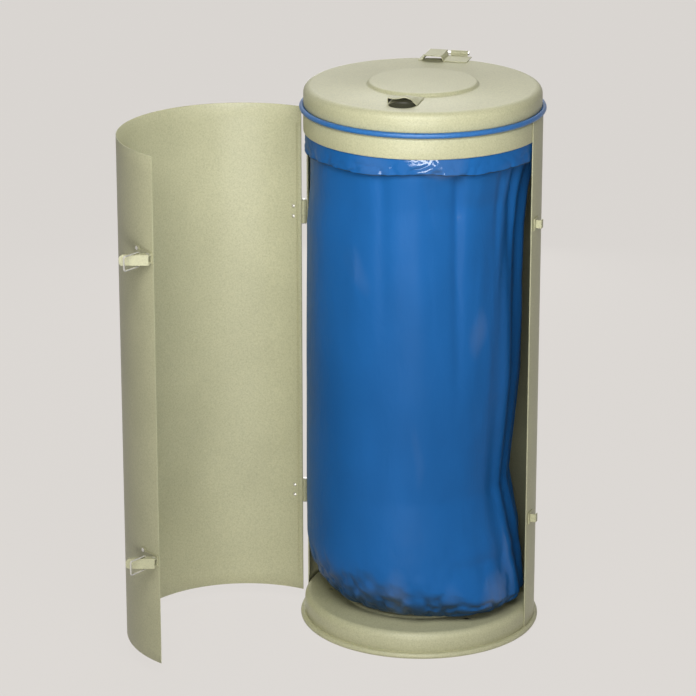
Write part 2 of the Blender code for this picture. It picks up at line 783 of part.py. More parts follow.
def make_lid_hinge():
    low = LID_TOP + GAP
    high = LID_PIN_Z + LID_KNUCKLE_R
    top = [(WING_LEFT, low + LEAF_T), (HUMP_LEFT, low + LEAF_T), (HUMP_LEFT + HUMP_SLOPE, high)]
    top += [(HUMP_RIGHT - HUMP_SLOPE, high), (HUMP_RIGHT, low + LEAF_T), (WING_RIGHT, low + LEAF_T)]
    half = LEAF_T / 2
    under = [(WING_RIGHT, low), (HUMP_RIGHT - half, low), (HUMP_RIGHT - HUMP_SLOPE - half, high - LEAF_T)]
    under += [(HUMP_LEFT + HUMP_SLOPE + half, high - LEAF_T), (HUMP_LEFT + half, low), (WING_LEFT, low)]
    mesh = plate_mesh("lid_hinge_leaf", [top + under], -LID_LEAF_BACK, -LID_LEAF_FRONT)
    mesh.transform(Matrix.Rotation(math.radians(90), 4, "X"))
    leaf = on_drum(add("lid_hinge_leaf", mesh, PAINTED), LID_AXIS)
    x0 = HUMP_LEFT + HUMP_SLOPE
    x1 = HUMP_RIGHT - HUMP_SLOPE
    y0 = LID_LEAF_BACK - TONGUE_LAP
    tongue = plate_mesh("leaf_tongue", [[(x0, y0), (x1, y0), (x1, LID_Y), (x0, LID_Y)]], high - LEAF_T, high)
    knuckle = along_x("leaf_knuckle", LID_KNUCKLE_R, x0 + GAP, x1 - GAP)
    join_shapes(leaf, helper("leaf_tongue", tongue, leaf), helper("leaf_knuckle", knuckle, leaf))
    bore = along_x("leaf_bore", LID_PIN_R + GAP, x0 - DRILL_PAST, x1 + DRILL_PAST)
    cut(leaf, helper("leaf_bore", bore, leaf))

    bracket = make_lid_bracket()

    x0 -= PIN_PLAY
    x1 = BRACKET_X1 + PIN_PLAY
    head = LID_KNUCKLE_R - PIN_HEAD_H
    low = x0 - PIN_HEAD_H
    high = x1 + PIN_HEAD_H
    points = [(0, low - PIN_DOME), (head, low), (head, x0), (LID_PIN_R, x0), (LID_PIN_R, x1), (head, x1)]
    points += [(head, high), (0, high + PIN_DOME)]
    pin = turn(add("lid_hinge_pin", profile_mesh("lid_hinge_pin", points[::-1]), ZINC_MAT), PIN_SIDES)
    on_drum(pin)
    along = Matrix.Rotation(math.radians(90), 4, "Y")
    pin.matrix_basis = Matrix.Translation((0, LID_Y, LID_PIN_Z)) @ along
    return leaf, bracket, pin


def make_door():
    outline = arc_strip(R_IN, DRUM_R, DOOR_START, DOOR_END)
    door = add("door", plate_mesh("door", [outline], DOOR_BOTTOM, DOOR_TOP), PAINTED)
    on_drum(door, DOOR_AXIS)
    low = PAN_TOP + PAN_DISC_RISE
    high = COLLAR_BOTTOM - HEM_CLEAR
    join_shapes(
        door,
        half_hem("door_hem_free", DOOR_END, -1, low, high, door),
        half_hem("door_hem_hinge", DOOR_START, 1, low, high, door),
    )
    places = [(EDGE_LEFT + LEAF_RIVET_DEG, z + side * LEAF_RIVET_Z)
              for z in HINGE_HEIGHTS.values() for side in (-1, 1)]
    places += [(latch_rivet_deg(), z + side * LATCH_RIVET_Z)
               for z in LATCH_HEIGHTS.values() for side in (-1, 1)]
    cut(door, radial_holes("door_rivet_holes", places, door))
    return round_shading(door)


def hinge_outline(side):
    """Half of a door hinge seen from above: a leaf on the drum's wall, curled round the pin."""
    inner = DRUM_R + GAP
    outer = inner + LEAF_T
    far = EDGE_LEFT + side * LEAF_DEG
    meet = math.acos((BARREL_R - LEAF_T) / BARREL_R)
    count = 9
    points = list(arc(inner, far, EDGE_LEFT, 2))
    for i in range(1, count + 1):
        angle = (2 * math.pi - meet) * i / count
        points.append((-BARREL_AT + BARREL_R * math.cos(angle), side * BARREL_R * math.sin(angle)))
    start = EDGE_LEFT + side * math.degrees(BARREL_R * math.sin(meet) / outer)
    return points + list(arc(outer, start, far, 2))[1:]


def make_door_hinge(which, z):
    z0 = z - HINGE_H / 2
    third = HINGE_H / 3
    play = GAP / 2
    bore = circle(-BARREL_AT, 0, BARREL_BORE, 10)
    made = {}
    for owner, side, parent in (("shell", -1, None), ("door", 1, DOOR_AXIS)):
        name = f"{which}_hinge_{owner}_leaf"
        mesh = plate_mesh(name, [hinge_outline(side), bore], z0, z0 + HINGE_H)
        leaf = on_drum(add(name, mesh, PAINTED), parent)
        spans = [(1, 2)] if owner == "shell" else [(-0.1, 1), (2, 3.1)]
        notches = []
        for low, high in spans:
            notch = round_bar(name, BARREL_R + 2 * GAP, z0 + third * low - play, z0 + third * high + play, 12)
            notch.transform(Matrix.Translation((-BARREL_AT, 0, 0)))
            notches.append(notch)
        places = [(EDGE_LEFT + side * LEAF_RIVET_DEG, z + s * LEAF_RIVET_Z) for s in (-1, 1)]
        cut(
            leaf,
            helper(name + "_notch", merged(name + "_notch", notches), leaf),
            radial_holes(name + "_holes", places, leaf),
        )
        for i, (degrees, height) in enumerate(places):
            rivet(f"{name}_rivet_{i + 1}", degrees, height, R_IN, DRUM_R + GAP + LEAF_T, parent)
        made[owner] = round_shading(leaf)
    head = BARREL_R - PIN_HEAD_H
    top = z0 + HINGE_H + GAP
    low = z0 - GAP
    points = [(0, top + PIN_HEAD_H + PIN_DOME), (head, top + PIN_HEAD_H), (head, top), (HINGE_PIN_R, top)]
    points += [(HINGE_PIN_R, low), (head, low), (head, low - PIN_HEAD_H), (0, low - PIN_HEAD_H - PIN_DOME)]
    name = f"{which}_hinge_pin"
    pin = turn(add(name, profile_mesh(name, points), ZINC_MAT), PIN_SIDES)
    pin.location = (-BARREL_AT, 0, 0)
    on_drum(pin)
    return made, pin


def latch_rivet_deg():
    return PIVOT_DEG - math.degrees((LATCH_BASE_L - LATCH_LUG_L / 2) / DRUM_R)


def local_plate(name, outline, half, degrees, z):
    """A plate drawn in the latch's own frame: X away from the door's free edge, Y out of the drum."""
    mesh = plate_mesh(name, outline, -half, half)
    frame = Matrix.Translation(polar(DRUM_R, degrees) + Vector((0, 0, z)))
    mesh.transform(frame @ Matrix.Rotation(math.radians(180 + degrees), 4, "Z"))
    return mesh


def make_latch_base(which, z):
    inner = DRUM_R + GAP
    outer = inner + LEAF_T
    edge = PIVOT_DEG + math.degrees(0.6 * PIVOT_INSET / DRUM_R)
    far = PIVOT_DEG - math.degrees(LATCH_BASE_L / DRUM_R)
    lug = far + math.degrees(LATCH_LUG_L / DRUM_R)
    name = f"{which}_latch_base"
    body = plate_mesh(name, [arc_strip(inner, outer, edge, far)], z - LATCH_BASE_HALF, z + LATCH_BASE_HALF)
    base = on_drum(add(name, body, PAINTED), DOOR_AXIS)
    lug_strip = arc_strip(inner, outer, lug, far)
    lugs = plate_mesh(name + "_lugs", [lug_strip], z - LATCH_LUG_HALF, z + LATCH_LUG_HALF)
    join_shapes(base, helper(name + "_lugs", lugs, base))
    crown = corner(0, PIVOT_H, EAR_R, 180, 0, 5)
    foot = GAP + LEAF_T / 2
    ear = crown + [(EAR_R + EAR_FOOT, foot), (-EAR_R * 0.6, foot)]
    for side in (-1, 1):
        height = z + side * (EAR_Z + EAR_T / 2)
        mesh = local_plate(f"{name}_ear", [ear], EAR_T / 2, PIVOT_DEG, height)
        join_shapes(base, helper(f"{name}_ear_{(side + 3) // 2}", mesh, base))
    drill = round_bar(name + "_bore", PIVOT_PIN_R + GAP, z - LATCH_LUG_HALF, z + LATCH_LUG_HALF, 10)
    drill.transform(Matrix.Translation(polar(DRUM_R + PIVOT_H, PIVOT_DEG)))
    places = [(latch_rivet_deg(), z + side * LATCH_RIVET_Z) for side in (-1, 1)]
    cut(base, helper(name + "_bore", drill, base), radial_holes(name + "_holes", places, base))
    for i, (degrees, height) in enumerate(places):
        rivet(f"{which}_latch_rivet_{i + 1}", degrees, height, R_IN, outer, DOOR_AXIS)
    return round_shading(base)


def lever_outlines():
    """The lever's side, and the hollow inside its channel, in its own frame with the pivot at the origin."""
    side = [(LEVER_L, LEVER_WEB), (-LEVER_HEEL, LEVER_WEB)]
    side += corner(0, 0, EAR_R, 150, 270, 5)
    side += [(LEVER_SHOULDER, LEVER_T / 2 - EAR_R), (LEVER_L - LEVER_LIP_L, LEVER_T)]
    side += [(LEVER_L, LEVER_WEB - LEVER_LIP)]
    hollow = [(LEVER_L - LEVER_T, LEVER_WEB - LEVER_T), (-BLANK, LEVER_WEB - LEVER_T), (-BLANK, -BLANK)]
    hollow += [(LEVER_L - LEVER_T, -BLANK)]
    return side, hollow


def make_lever(which, pivot):
    name = f"{which}_latch_lever"
    side, hollow = lever_outlines()
    half = LEVER_W / 2
    lever = add(name, plate_mesh(name, [side], -half, half), PAINTED)
    lever.parent = pivot
    face = [(-BLANK, -half), (LEVER_L - LEVER_CORNER, -half)]
    face += corner(LEVER_L - LEVER_CORNER, -half + LEVER_CORNER, LEVER_CORNER, -90, 0, 4)[1:]
    face += corner(LEVER_L - LEVER_CORNER, half - LEVER_CORNER, LEVER_CORNER, 0, 90, 4)
    face += [(-BLANK, half)]
    blank = plate_mesh(name + "_face", [face], -BLANK, BLANK)
    blank.transform(Matrix.Rotation(math.radians(-90), 4, "X"))
    combine(lever, helper(name + "_face", blank, lever), "INTERSECT")
    inside = plate_mesh(name + "_hollow", [hollow], -half + LEVER_T, half - LEVER_T)
    bores = [round_bar(name, PIVOT_PIN_R + GAP, -BLANK, BLANK, 10)]
    bores.append(round_bar(name, BAIL_R + GAP, -BLANK, BLANK, 8))
    bores[1].transform(Matrix.Translation((BAIL_AT, -BAIL_DROP, 0)))
    cut(
        lever,
        helper(name + "_hollow", inside, lever),
        helper(name + "_bores", merged(name + "_bores", bores), lever),
    )
    return round_shading(lever)


def make_bail(which, pivot):
    name = f"{which}_latch_bail"
    end = LEVER_W / 2 - LEVER_T - GAP
    bend = BAIL_BEND
    half = [(0, end), (0, BAIL_HALF - bend)]
    half += corner(bend, BAIL_HALF - bend, bend, 135, 90, 1)
    half += corner(BAIL_L - bend, BAIL_HALF - bend, bend, 90, 0, 2)
    half = [(x, 0, z) for x, z in half]
    other = [(x, y, -z) for x, y, z in reversed(half)]
    bail = add(name, wire_mesh(name, half + other, BAIL_R, 8), ZINC_MAT)
    bail.parent = pivot
    return round_shading(bail, 50)


def make_pivot_pin(which, z):
    name = f"{which}_latch_pin"
    outside = LEVER_W / 2 + GAP
    head = PIVOT_PIN_R + PIN_HEAD_H
    top = outside + PIN_HEAD_H / 2
    points = [(0, top + PIN_DOME / 2), (head, top), (head, outside), (PIVOT_PIN_R, outside)]
    points += [(x, -y) for x, y in reversed(points)]
    pin = turn(add(name, profile_mesh(name, points), ZINC_MAT), PIN_SIDES)
    pin.location = polar(DRUM_R + PIVOT_H, PIVOT_DEG) + Vector((0, 0, z))
    return on_drum(pin, DOOR_AXIS)


def make_latch(which, z):
    make_latch_base(which, z)
    make_pivot_pin(which, z)
    place = polar(DRUM_R + PIVOT_H, PIVOT_DEG) + Vector((BARREL_AT, 0, z))
    pivot = empty(f"{which}_lever_axis", place, 180 + PIVOT_DEG + LEVER_OPEN, DOOR_AXIS)
    make_lever(which, pivot)
    bail_axis = empty(f"{which}_bail_axis", (BAIL_AT, -BAIL_DROP, 0), BAIL_OPEN, pivot)
    make_bail(which, bail_axis)


def make_keeper(which, z):
    name = f"{which}_keeper"
    inner = DRUM_R + GAP
    outer = inner + LEAF_T
    reach = math.degrees(KEEPER_PLATE / DRUM_R)
    strip = arc_strip(inner, outer, KEEPER_DEG - reach, KEEPER_DEG + reach)
    plate = plate_mesh(name, [strip], z - KEEPER_PLATE_HALF, z + KEEPER_PLATE_HALF)
    keeper = on_drum(add(name, plate, PAINTED))
    under = KEEPER_UNDER
    over = under + LEAF_T
    stem = KEEPER_STEM_AT
    tip = stem - KEEPER_LIP
    ease = KEEPER_EASE
    hook = [(stem, GAP + LEAF_T / 2), (stem, under), (tip, under), (tip, over - ease), (tip + 2 * ease, over)]
    hook += [(stem + LEAF_T - 2 * ease, over), (stem + LEAF_T, over - 2 * ease)]
    hook += [(stem + LEAF_T, GAP + LEAF_T / 2)]
    mesh = local_plate(name + "_hook", [hook], KEEPER_HOOK_HALF, KEEPER_DEG, z)
    join_shapes(keeper, helper(name + "_hook", mesh, keeper))
    return round_shading(keeper)


make_back_shell()
make_base_pan()
make_collar()
make_rubber_ring()
make_clamping_ring()
make_sack()
make_lid()
make_lid_handle()
make_lid_hinge()
make_door()
for part, height in HINGE_HEIGHTS.items():
    make_door_hinge(part, height)
for part, height in LATCH_HEIGHTS.items():
    make_latch(part, height)
    make_keeper(part, height)
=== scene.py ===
"""Looks of the steel waste-sack collector: painted sheet steel, blue film and zinc-plated hardware."""

import json
import math

import bmesh
import bpy
import numpy as np
from mathutils import Matrix, Vector, noise


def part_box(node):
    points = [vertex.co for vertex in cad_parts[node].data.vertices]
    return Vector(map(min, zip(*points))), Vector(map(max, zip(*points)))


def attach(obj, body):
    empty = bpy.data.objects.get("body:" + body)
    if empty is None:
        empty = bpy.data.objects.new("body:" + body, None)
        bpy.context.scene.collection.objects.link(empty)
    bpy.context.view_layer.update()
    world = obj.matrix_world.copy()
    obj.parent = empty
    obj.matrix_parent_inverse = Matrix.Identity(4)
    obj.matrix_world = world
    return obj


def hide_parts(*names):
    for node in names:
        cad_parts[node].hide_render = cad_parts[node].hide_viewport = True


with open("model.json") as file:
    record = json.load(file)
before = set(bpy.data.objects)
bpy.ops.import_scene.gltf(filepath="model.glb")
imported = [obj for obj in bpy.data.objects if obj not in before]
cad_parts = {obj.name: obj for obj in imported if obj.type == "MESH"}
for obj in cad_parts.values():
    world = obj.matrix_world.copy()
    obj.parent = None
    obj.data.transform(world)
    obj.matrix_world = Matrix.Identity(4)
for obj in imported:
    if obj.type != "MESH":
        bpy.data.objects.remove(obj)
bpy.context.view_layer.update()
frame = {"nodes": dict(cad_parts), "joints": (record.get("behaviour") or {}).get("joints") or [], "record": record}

# Drum, as the frame has it
SHELL_LOW, SHELL_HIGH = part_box("back_shell")
PAN_LOW, PAN_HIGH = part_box("base_pan")
LID_LOW, LID_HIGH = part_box("lid")
COLLAR_LOW, COLLAR_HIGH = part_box("collar")
RING_LOW, RING_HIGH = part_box("rubber_ring")
DOOR_LOW, DOOR_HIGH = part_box("door")
DOOR_JOINT = next(j for j in frame["joints"] if j["name"] == "door_swing")
AXIS = Vector(((PAN_LOW.x + PAN_HIGH.x) / 2, (PAN_LOW.y + PAN_HIGH.y) / 2, 0))
HINGE = Vector((DOOR_JOINT["pos_m"][0], DOOR_JOINT["pos_m"][1], 0))
DOOR_OPEN = -DOOR_JOINT["range_deg"][0]
DRUM_R = 0.200
SHEET = 0.0012
GAP = 0.0003
DRUM_IN = DRUM_R - SHEET
FIT_R = DRUM_IN - GAP
EDGE_RIGHT = 78.0
EDGE_LEFT = -90.0
EDGE_GAP = 0.0012
FINE = 192
ON_AXIS = 1e-6

# Rolled sheets: their top and bottom edges are broken by this much, in and down
EDGE_BREAK = 0.0003
EDGE_BREAK_H = 0.0004
ROLL_STEP_DEG = 1.5
# Hems of the upright edges; the outline is a share of the sheet inwards, and a distance from the edge
HEM_LOW = PAN_HIGH.z + 0.001
HEM_HIGH = COLLAR_LOW.z - 0.002
HEM_OUTLINE = (
    (0.0, 0.0012),
    (0.3, 0.0006),
    (0.7, 0.0007),
    (1.0, 0.0016),
    (1.0, 0.0085),
    (0.6, 0.0090),
    (0.0, 0.0090),
)

# Base pan: the raised disc as radius and share of its rise, the corner, the groove and the foot bead
PAN_RISE = 0.0032
PAN_TOP = PAN_HIGH.z - PAN_RISE
PAN_DISC = ((0.0, 1.0), (0.1290, 1.0), (0.1306, 0.8), (0.1322, 0.2), (0.1340, 0.0))
PAN_CORNER_R = 0.012
PAN_GROOVE = ((0.0, 0.0112), (-0.0006, 0.0103), (-0.0006, 0.0098), (0.0016, 0.0095))
BEAD_R = 0.00475
BEAD_LIP = 0.004

# Fixing holes of the base pan
HOLE_R = 0.004
HOLE_CIRCLE_R = 0.76 * DRUM_R
HOLE_FIRST = -75.0
HOLE_COUNT = 3
DRILL_HEIGHT = 0.010

# Collar: its neck stands above the drum's edge, its wall and hem lie inside the drum
COLLAR_SHEET = 0.0010
NECK_R = FIT_R - 0.0023
NECK_TOP = ((-0.006, -0.0012), (-0.002, 0.0), (-0.0006, -0.0006), (0.0, -0.0018))
NECK_FOOT = ((0.0, -0.0005), (0.0006, -0.0018))
COLLAR_LEDGE = ((-0.0004, -0.0036), (0.0, -0.005))
COLLAR_HEM = (
    (0.0, 0.0018),
    (-0.0004, 0.0006),
    (-0.0014, 0.0),
    (-0.0022, 0.0005),
    (-0.0025, 0.0020),
)

# Lid: the raised disc as radius and share of its rise, the rolled corner and the skirt's edge
LID_RISE = 0.0062
LID_TOP = LID_HIGH.z - LID_RISE
LID_DISC = (
    (0.0, 1.0),
    (0.0865, 1.0),
    (0.0885, 0.96),
    (0.0903, 0.80),
    (0.0917, 0.45),
    (0.0932, 0.12),
    (0.0950, 0.0),
)
LID_CORNER_R = 0.013
LID_EDGE = ((0.0, 0.0006), (-0.0003, 0.0))

# Lid handle and the finger well under it; the lip is a place across and a share of the lift
HANDLE_W = 0.050
HANDLE_BACK = 0.4625 * DRUM_R + 0.0055
HANDLE_FRONT = HANDLE_BACK + 0.050
HANDLE_LIFT = 0.0125
HANDLE_T = 0.0012
HANDLE_LIP = ((-1.0, 0.80), (-0.45, 0.68), (0.20, 1.0), (0.62, 0.72), (1.0, 0.0))
HANDLE_ACROSS = 60
HANDLE_ALONG = 30
HANDLE_END_STEPS = 4
HANDLE_END_FALL = 0.04
LIP_BLUR = 0.10
WELL_R = 0.022
WELL_DEPTH = 0.008

# The film sack: height as a share from the base to the collar, and the insets at left and right
SACK_SIDES = (
    (0.000, 0.0038, 0.0180),
    (0.141, 0.0038, 0.0290),
    (0.269, 0.0036, 0.0490),
    (0.490, 0.0036, 0.0330),
    (0.811, 0.0046, 0.0310),
    (0.885, 0.0108, 0.0270),
    (0.960, 0.0116, 0.0140),
)
SACK_LEFT_DEG = -77.0
SACK_WALL_GAP = 0.0006
SACK_FOLDS = ((7, 1.2, 0.0030), (12, -0.6, 0.0020))
SACK_LIFT_DEG = -52.0
SACK_ROUND = 0.012
SACK_LIFT = 0.100
SACK_CUFF = 0.030
SACK_HEM_WAVE = 0.004
SACK_AROUND = 360
SACK_ROWS = 90
CUFF_ROWS = 14
FOOT_ROWS = 16
FOOT_SHRINKS = (0.85, 0.6, 0.3)
FILM_T = 0.0002
# Pleats under the ring: angle, half width in degrees, depth, and the share of the height where they end
SACK_PLEATS = (
    (32.0, 3.0, 0.0060, 0.42),
    (72.0, 4.0, 0.0080, 0.55),
    (58.0, 2.5, 0.0030, 0.60),
    (-8.0, 3.5, 0.0025, 0.55),
)
PLEAT_TOP = 0.93
# The slack of the wide tube lies in pleats along the back
BACK_PLEATS = 20
BACK_PLEAT_DEPTH = 0.0135
BACK_DEG = 165.0
# The belly that the film has above the base
BULGE = 0.010
BULGE_DEG = 52.0
BULGE_Z = 0.085
# Where the film lies on the base, over the clamping ring and against its inside
SACK_FLOOR = PAN_HIGH.z + 0.0018
CUFF_R = 0.1954
CLAMP_IN = 0.1880
CLAMP_TOP = COLLAR_LOW.z + 0.0070
FILM_TOP = CLAMP_TOP + 0.0012
FILM_TURN = CLAMP_TOP - 0.003
WALL_TOP = COLLAR_LOW.z - 0.004

# Camera, in metres and degrees
VIEW_AZIMUTH = 13.0
VIEW_DISTANCE = 5.236
VIEW_HEIGHT = 2.228
VIEW_YAW = -1.357
VIEW_PITCH = 18.41
VIEW_LENS = 167.9
SENSOR = 36.0

# Colours; the film's is multiplied by the last one on faces that look down, as painted shade
PAINT_COLOUR = (0.445, 0.437, 0.272)
# painted shade: this dark olive stands for the shade inside the finger well and under the handle's cowl
PAINTED_SHADE_COLOUR = (0.060, 0.060, 0.035)
ZINC_COLOUR = (0.72, 0.71, 0.66)
RUBBER_COLOUR = (0.015, 0.125, 0.36)
FILM_COLOUR = (0.0115, 0.103, 0.315)
FILM_SHADE_UNDER = (1.6, 0.45, 0.28)

# Backdrop and floor: outside the base, the floor shows mostly its own glow, so that both look alike
BACKDROP = (0.710, 0.680, 0.651)
FLOOR_GLOW = (0.737, 0.707, 0.677)
FLOOR_SHARE = 0.94
FLOOR_HALF = 30
UNDER_BASE_R = DRUM_R - 0.005
SKY = (1.0, 0.99, 0.97, 1)
SKY_STRENGTH = 0.015

# Lamps: angle and distance from their middle, height, width and height of the softbox, and watts
LAMPS = {
    "front": (12, 1.1, 1.5, (1.1, 0.8), 22),
    "low_front": (10, 2.6, 0.2, (1.8, 0.3), 27),
    "over_back": (180, 1.3, 2.0, (1.2, 1.0), 8),
    "back_left": (205, 1.3, 2.0, (1.2, 1.0), 7),
    "behind": (193, 2.4, 0.5, (0.8, 0.8), 10),
    "right": (75, 2.4, 1.2, (0.8, 2.0), 4),
}
LAMP_MIDDLE = Vector((0.05, -0.05, 0))
LAMP_AIM = LAMP_MIDDLE + Vector((0, 0, 0.6))


def polar(radius, degrees, z=0.0):
    angle = math.radians(degrees)
    return Vector((radius * math.sin(angle), -radius * math.cos(angle), z))


def clamped(value):
    return min(1.0, max(0.0, value))


def add_object(name, data):
    obj = bpy.data.objects.new(name, data)
    bpy.context.scene.collection.objects.link(obj)
    return obj


def add_piece(name, bm, mats):
    """An object in the scene, made of a bmesh that is freed."""
    mesh = bpy.data.meshes.new(name)
    bm.to_mesh(mesh)
    bm.free()
    for mat in mats:
        mesh.materials.append(mat)
    return add_object(name, mesh)


# Nodes
def feed(tree, socket, value):
    """Sets an input to a value, or links another node's output to it."""
    if isinstance(value, bpy.types.NodeSocket):
        tree.links.new(value, socket)
    else:
        socket.default_value = value


def add_node(tree, kind, **values):
    node = tree.nodes.new(kind)
    for key, value in values.items():
        if key in node.inputs:
            feed(tree, node.inputs[key], value)
        else:
            setattr(node, key, value)
    return node


def ramp(tree, value, stops):
    node = add_node(tree, "ShaderNodeValToRGB", Fac=value)
    while len(node.color_ramp.elements) < len(stops):
        node.color_ramp.elements.new(0.5)
    for element, (place, colour) in zip(node.color_ramp.elements, stops):
        element.position = place
        element.color = (*colour, 1.0)
    return node.outputs["Color"]


def noise_texture(tree, place, **values):
    return add_node(tree, "ShaderNodeTexNoise", Vector=place, **values).outputs["Fac"]


def cells_texture(tree, place, scale):
    return add_node(tree, "ShaderNodeTexVoronoi", Vector=place, Scale=scale).outputs["Distance"]


def rescale(tree, value, to_low, to_high, from_low=0.0, from_high=1.0):
    """A value carried from one span to another and held within it."""
    node = add_node(tree, "ShaderNodeMapRange", Value=value)
    node.inputs["From Min"].default_value = from_low
    node.inputs["From Max"].default_value = from_high
    node.inputs["To Min"].default_value = to_low
    node.inputs["To Max"].default_value = to_high
    return node.outputs["Result"]


def bump(tree, height, strength, distance, **values):
    node = add_node(tree, "ShaderNodeBump", Height=height, Strength=strength, Distance=distance, **values)
    return node.outputs["Normal"]


def multiply(tree, share, first, second):
    """A colour multiplied by another one, as far as the share says."""
    node = add_node(tree, "ShaderNodeMix", data_type="RGBA", blend_type="MULTIPLY")
    feed(tree, node.inputs["Factor"], share)
    feed(tree, node.inputs["A"], first)
    feed(tree, node.inputs["B"], second)
    return node.outputs["Result"]


def maths(tree, operation, *terms):
    node = add_node(tree, "ShaderNodeMath", operation=operation)
    for socket, term in zip(node.inputs, terms):
        feed(tree, socket, term)
    return node.outputs["Value"]


def mix_shaders(tree, share, first, second):
    node = add_node(tree, "ShaderNodeMixShader")
    for socket, value in zip(node.inputs, (share, first, second)):
        feed(tree, socket, value)
    return node.outputs["Shader"]


# Materials
def new_material(name):
    mat = bpy.data.materials.new(name)
    mat.use_nodes = True
    return mat, mat.node_tree


def set_surface(tree, values):
    """Sets or links the inputs of a material's own shader."""
    shader = tree.nodes["Principled BSDF"]
    for key, value in values.items():
        feed(tree, shader.inputs[key], value)
    return shader.outputs["BSDF"]


def shade(colour, factor):
    return tuple(c * factor for c in colour)


def hammer_paint(name, colour):
    """Semi-gloss stoving enamel with a fine pebbled, speckled surface."""
    mat, tree = new_material(name)
    place = add_node(tree, "ShaderNodeTexCoord").outputs["Object"]
    fine = noise_texture(tree, place, Scale=380.0, Detail=4.0, Roughness=0.75)
    coarse = noise_texture(tree, place, Scale=9.0, Detail=4.0, Roughness=0.55)
    pebbles = cells_texture(tree, place, 620.0)
    speckle = ramp(tree, fine, [(0.30, shade(colour, 0.80)), (0.50, colour), (0.70, shade(colour, 1.13))])
    cloud = ramp(tree, coarse, [(0.3, (0.94, 0.94, 0.93)), (0.7, (1.04, 1.04, 1.04))])
    set_surface(tree, {
        "Base Color": multiply(tree, 1.0, speckle, cloud),
        "Roughness": rescale(tree, fine, 0.44, 0.64),
        "Normal": bump(tree, pebbles, 0.22, 0.0004),
        "IOR": 1.55,
        "Coat Weight": 0.15,
        "Coat Roughness": 0.25,
    })
    return mat


def zinc_plate(name, colour):
    """Zinc-plated steel with faint spangle and fine grain."""
    mat, tree = new_material(name)
    place = add_node(tree, "ShaderNodeTexCoord").outputs["Object"]
    spangle = cells_texture(tree, place, 420.0)
    grain = noise_texture(tree, place, Scale=1500.0, Detail=2.0)
    set_surface(tree, {
        "Base Color": ramp(tree, spangle, [(0.0, shade(colour, 0.86)), (1.0, colour)]),
        "Roughness": rescale(tree, grain, 0.22, 0.42),
        "Normal": bump(tree, grain, 0.1, 0.0002),
        "Metallic": 0.85,
    })
    return mat


def film_colour(tree, normal, tint, colour):
    """The film's tint, with painted shade on faces that look down."""
    tone = ramp(tree, tint, [(0.3, shade(colour, 0.88)), (0.7, shade(colour, 1.10))])
    facing = add_node(tree, "ShaderNodeSeparateXYZ", Vector=normal).outputs["Z"]
    # painted shade: the more a face looks down, the darker the film is drawn
    under = rescale(tree, facing, 0.0, 1.0, -0.10, -0.60)
    return multiply(tree, under, tone, (*FILM_SHADE_UNDER, 1))


def film_glints(tree, place, patch):
    """Where the film glints, from 0 to 1: in patches, and in more of them near its mouth."""
    height = add_node(tree, "ShaderNodeSeparateXYZ", Vector=place).outputs["Z"]
    mouth = rescale(tree, height, 0.0, 1.0, COLLAR_LOW.z - 0.040, COLLAR_LOW.z - 0.026)
    near = maths(tree, "MULTIPLY_ADD", mouth, 0.17, patch)
    return rescale(tree, near, 0.0, 1.0, 0.63, 0.74)


def film(name, colour):
    """Thin polythene: deep blue with soft waves, under a coat whose sharp crinkles glint."""
    mat, tree = new_material(name)
    source = add_node(tree, "ShaderNodeTexCoord")
    place = source.outputs["Object"]
    drawn = add_node(tree, "ShaderNodeMapping", Vector=place, Scale=(1.0, 1.0, 0.45)).outputs["Vector"]
    wave = noise_texture(tree, drawn, Scale=30.0, Detail=5.0, Roughness=0.55, Distortion=0.6)
    tint = noise_texture(tree, drawn, Scale=7.0, Detail=3.0)
    patch = noise_texture(tree, drawn, Scale=11.0, Detail=1.0)
    ridged = {"noise_type": "RIDGED_MULTIFRACTAL"}
    crinkle = noise_texture(tree, place, Scale=48.0, Detail=2.0, Roughness=0.5, Distortion=1.0, **ridged)
    glints = film_glints(tree, place, patch)
    waves = bump(tree, wave, 0.30, 0.004)
    ridges = maths(tree, "MULTIPLY", crinkle, glints)
    set_surface(tree, {
        "Base Color": film_colour(tree, source.outputs["Normal"], tint, colour),
        "Roughness": rescale(tree, wave, 0.34, 0.48),
        "Normal": waves,
        "IOR": 1.18,
        "Coat Weight": rescale(tree, glints, 0.0, 0.42),
        "Coat Normal": bump(tree, ridges, 0.9, 0.0016, Normal=waves),
        "Coat IOR": 1.9,
        "Coat Roughness": 0.06,
    })
    return mat


def rubber(name, colour):
    """Smooth extruded rubber cord with a satin skin."""
    mat, tree = new_material(name)
    place = add_node(tree, "ShaderNodeTexCoord").outputs["Object"]
    skin = noise_texture(tree, place, Scale=260.0, Detail=3.0)
    set_surface(tree, {
        "Base Color": ramp(tree, skin, [(0.3, shade(colour, 0.85)), (0.7, shade(colour, 1.1))]),
        "Roughness": rescale(tree, skin, 0.3, 0.42),
        "Normal": bump(tree, skin, 0.12, 0.0003),
    })
    return mat


PAINT = hammer_paint("hammer_paint", PAINT_COLOUR)
# painted shade for the inside of the finger well and the underside of the cowl
PAINTED_SHADE = hammer_paint("painted_shade", PAINTED_SHADE_COLOUR)
ZINC = zinc_plate("zinc", ZINC_COLOUR)
FILM = film("blue_film", FILM_COLOUR)
RUBBER = rubber("blue_rubber", RUBBER_COLOUR)
LOOKS = {"hammer_paint": PAINT, "zinc": ZINC, "blue_film": FILM, "blue_rubber": RUBBER}


def dress_cad_nodes():
    slots = {s["node"]: s["material_slot"] for s in frame["record"]["subparts"]}
    for name, obj in frame["nodes"].items():
        look = LOOKS[slots[name]]
        for i in range(len(obj.material_slots)):
            obj.material_slots[i].material = look


dress_cad_nodes()


# Profiles, as lists of (radius, z)
def corner(cx, cz, radius, start, end, steps):
    angles = [math.radians(start + (end - start) * i / steps) for i in range(steps + 1)]
    return [(cx + radius * math.cos(a), cz + radius * math.sin(a)) for a in angles]


def shifted(points, x, z):
    return [(x + dx, z + dz) for dx, dz in points]


def raised(disc, low, rise):
    return [(radius, low + rise * share) for radius, share in disc]


